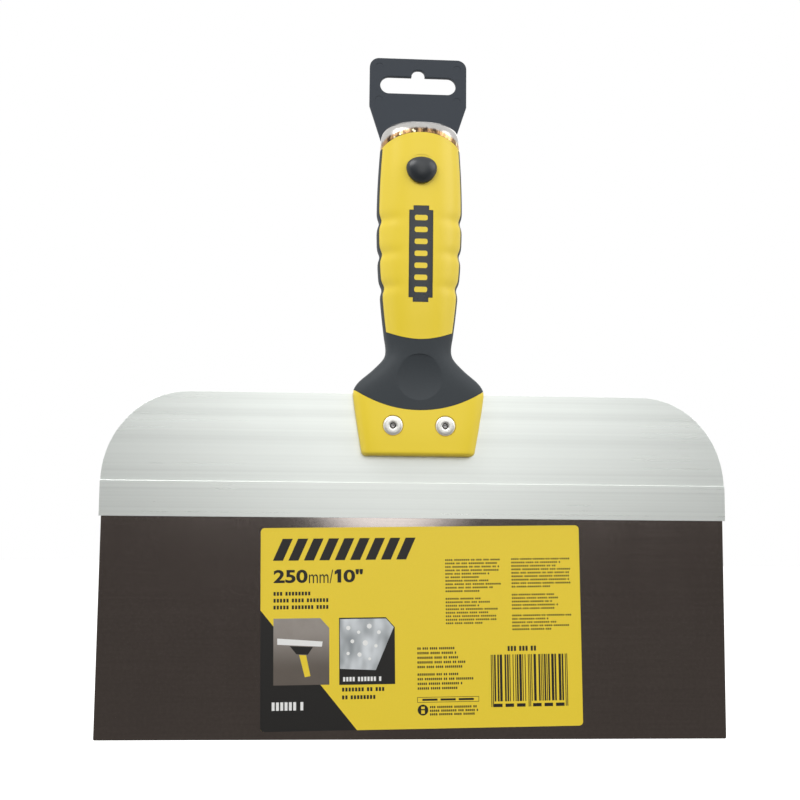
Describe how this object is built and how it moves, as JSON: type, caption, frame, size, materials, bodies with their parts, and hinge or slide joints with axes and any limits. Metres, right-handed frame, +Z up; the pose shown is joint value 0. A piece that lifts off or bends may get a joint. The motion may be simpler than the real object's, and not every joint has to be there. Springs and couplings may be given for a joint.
{
  "type": "drywall taping knife",
  "caption": "Wide stainless taping knife with an aluminium backing bar, a riveted two-material handle, a metal butt cap and a plastic hang tab on a push pin.",
  "frame": {"origin": "point at the top of the hang tab's slot notch, in the middle of the tab's thickness, where the tab bears on a peg", "axes": "+Z up along the handle, away from the working edge; the label faces -Y; +X to the right seen from the label side"},
  "size_m": [0.2508, 0.0275, 0.2818],
  "materials": {
    "blade_steel": "polished stainless, dark in reflection, fine scuffs",
    "backing_aluminium": "satin extruded, faint lines along its length",
    "label_film": "printed yellow adhesive film",
    "yellow_plastic": "moulded, semi-gloss",
    "black_rubber": "matte overmould",
    "black_plastic": "moulded, satin",
    "cap_chrome": "bright plated",
    "rivet_aluminium": "bright",
    "fastener_steel": "zinc plated",
    "tab_plastic": "moulded, lightly textured"
  },
  "bodies": {
    "hang_tab": {"hang_tab": "tab_plastic"},
    "knife": {"blade": "blade_steel", "backing": "backing_aluminium", "label": "label_film", "handle_core": "yellow_plastic", "soft_grip": "black_rubber", "badge_inlay": "black_plastic", "end_cap": "cap_chrome", "rivet_left": "rivet_aluminium", "mandrel_left": "fastener_steel", "rivet_washer_left": "fastener_steel", "rivet_right": "rivet_aluminium", "mandrel_right": "fastener_steel", "rivet_washer_right": "fastener_steel"},
    "push_pin": {"push_pin": "black_plastic"}
  },
  "joints": [
    {"name": "tab_swing", "type": "hinge", "parent": "hang_tab", "child": "knife", "pos_m": [0, 0, -0.0506], "axis": [0, 1, 0], "continuous": true},
    {"name": "pin_pull", "type": "slide", "parent": "knife", "child": "push_pin", "axis": [0, -1, 0], "range_m": [0, 0.03]}
  ]
}
